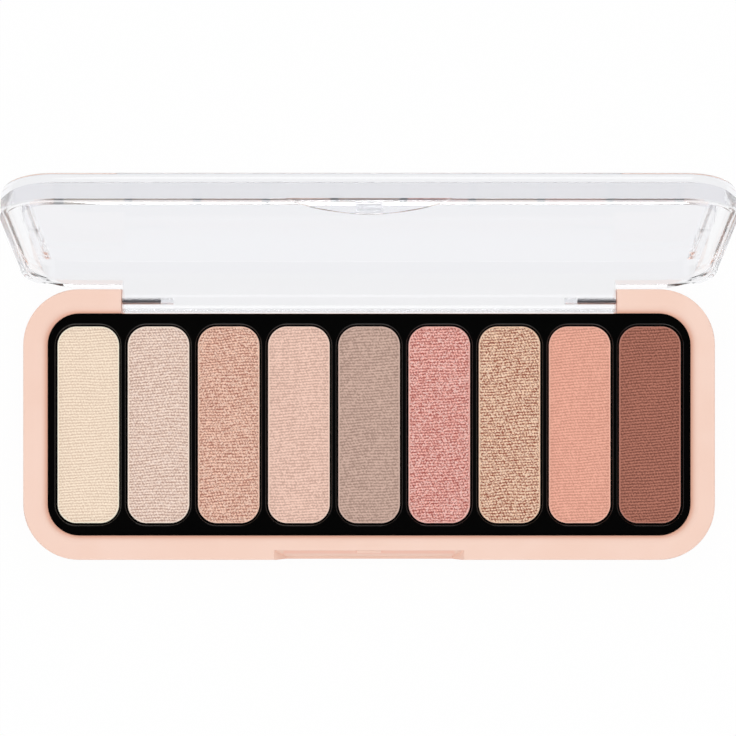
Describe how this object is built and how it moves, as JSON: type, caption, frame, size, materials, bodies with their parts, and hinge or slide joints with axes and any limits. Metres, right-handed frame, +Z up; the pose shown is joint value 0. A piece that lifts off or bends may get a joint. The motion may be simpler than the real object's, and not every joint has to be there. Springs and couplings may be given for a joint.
{
  "type": "eyeshadow palette",
  "caption": "Slim make-up palette: moulded case with a black insert tray of long round-cornered pressed powders under a thick clear lid on a pinned rear hinge, shown open.",
  "frame": {"origin": "centre of the flat underside of the case", "axes": "+X along the case, +Y to the hinge side, +Z up"},
  "size_m": [0.17, 0.0912, 0.067],
  "materials": {
    "case_plastic": "peach, satin to gloss moulded surface",
    "tray_plastic": "black, polished",
    "clear_plastic": "crystal clear, polished",
    "pin_steel": "drawn wire",
    "pan_metal": "pressed sheet",
    "cream_powder": "matte pressed powder, fine ribbed press",
    "champagne_powder": "shimmering pressed powder",
    "rose_tan_powder": "shimmering pressed powder",
    "pale_peach_powder": "matte pressed powder, fine ribbed press",
    "taupe_powder": "matte pressed powder, fine ribbed press",
    "pink_powder": "shimmering pressed powder",
    "bronze_powder": "shimmering pressed powder",
    "coral_powder": "matte pressed powder, fine ribbed press",
    "red_brown_powder": "matte pressed powder, fine ribbed press"
  },
  "bodies": {
    "case": {"base_case": "case_plastic", "insert_tray": "tray_plastic", "hinge_pin_left": "pin_steel", "hinge_pin_right": "pin_steel", "pan_1": "pan_metal", "pan_2": "pan_metal", "pan_3": "pan_metal", "pan_4": "pan_metal", "pan_5": "pan_metal", "pan_6": "pan_metal", "pan_7": "pan_metal", "pan_8": "pan_metal", "pan_9": "pan_metal", "powder_1": "cream_powder", "powder_2": "champagne_powder", "powder_3": "rose_tan_powder", "powder_4": "pale_peach_powder", "powder_5": "taupe_powder", "powder_6": "pink_powder", "powder_7": "bronze_powder", "powder_8": "coral_powder", "powder_9": "red_brown_powder"},
    "lid": {"lid": "clear_plastic"}
  },
  "joints": [
    {"name": "lid_hinge", "type": "hinge", "parent": "case", "child": "lid", "pos_m": [0, 0.0304, 0.00594], "axis": [1, 0, 0], "range_deg": [0, 106]}
  ]
}
